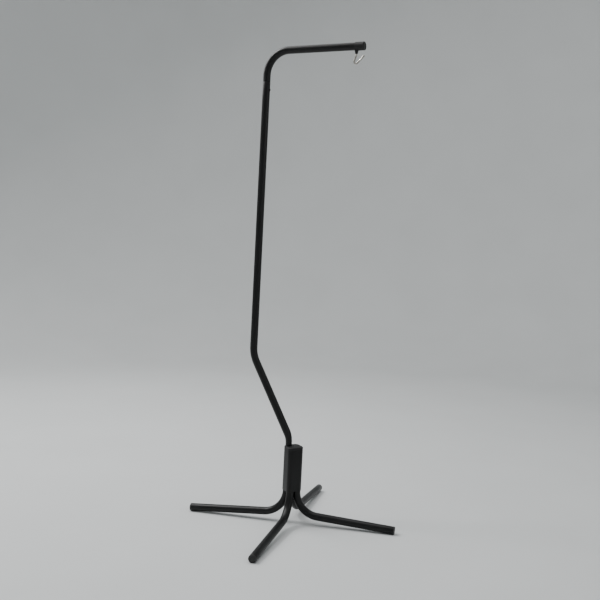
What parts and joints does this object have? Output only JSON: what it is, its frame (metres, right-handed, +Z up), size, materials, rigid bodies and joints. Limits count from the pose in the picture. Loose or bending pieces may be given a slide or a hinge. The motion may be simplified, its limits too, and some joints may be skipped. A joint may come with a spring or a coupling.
{
  "type": "hanging stand",
  "caption": "Free-standing tubular steel hanging stand: four bent legs in a collar, a cranked pole that turns in one leg, a straight arm and a swivel hook.",
  "frame": {"origin": "on the floor, under the middle of the four legs", "axes": "+Z up; +X the way the arm points, seen from above; the right leg is 10.5 degrees round from +X towards +Y"},
  "size_m": [0.6154, 0.6154, 1.3962],
  "materials": {
    "black_powder_coat": "fine-textured satin black powder coat on steel tube",
    "black_plastic": "moulded black nylon, fine matt grain",
    "black_oxide_steel": "black oxide over turned steel",
    "zinc_plate": "bright zinc plate, slightly blue",
    "bright_hook_wire": "bright nickel-plated steel wire",
    "spring_steel": "blued spring steel strip"
  },
  "bodies": {
    "base": {"leg_right": "black_powder_coat", "leg_rear": "black_powder_coat", "leg_left": "black_powder_coat", "leg_front": "black_powder_coat", "foot_plug_right": "black_plastic", "foot_plug_rear": "black_plastic", "foot_plug_left": "black_plastic", "foot_plug_front": "black_plastic", "collar": "black_powder_coat", "collar_cap": "black_plastic", "leg_wedge": "zinc_plate", "tie_bolt": "black_oxide_steel", "tie_washer": "zinc_plate", "tie_nut": "zinc_plate"},
    "mast": {"pole": "black_powder_coat", "arm": "black_powder_coat", "snap_spring": "spring_steel", "arm_cap": "black_plastic", "hook_bush": "black_plastic", "hook_washer": "zinc_plate"},
    "button": {"snap_button": "black_oxide_steel"},
    "hook": {"hook": "bright_hook_wire", "hook_nut": "zinc_plate"}
  },
  "joints": [
    {"name": "pole_turn", "type": "hinge", "parent": "base", "child": "mast", "pos_m": [-0.01537, -0.00285, 0.224], "axis": [0, 0, 1], "continuous": true},
    {"name": "snap_press", "type": "slide", "parent": "mast", "child": "button", "axis": [-1, 0, 0], "range_m": [0, 0.0042], "stiffness_N_per_m": 400, "springref_m": -0.006, "deforming": ["snap_spring"]},
    {"name": "hook_swivel", "type": "hinge", "parent": "mast", "child": "hook", "pos_m": [0.13964, -0.00285, 1.373], "axis": [0, 0, 1], "continuous": true}
  ]
}
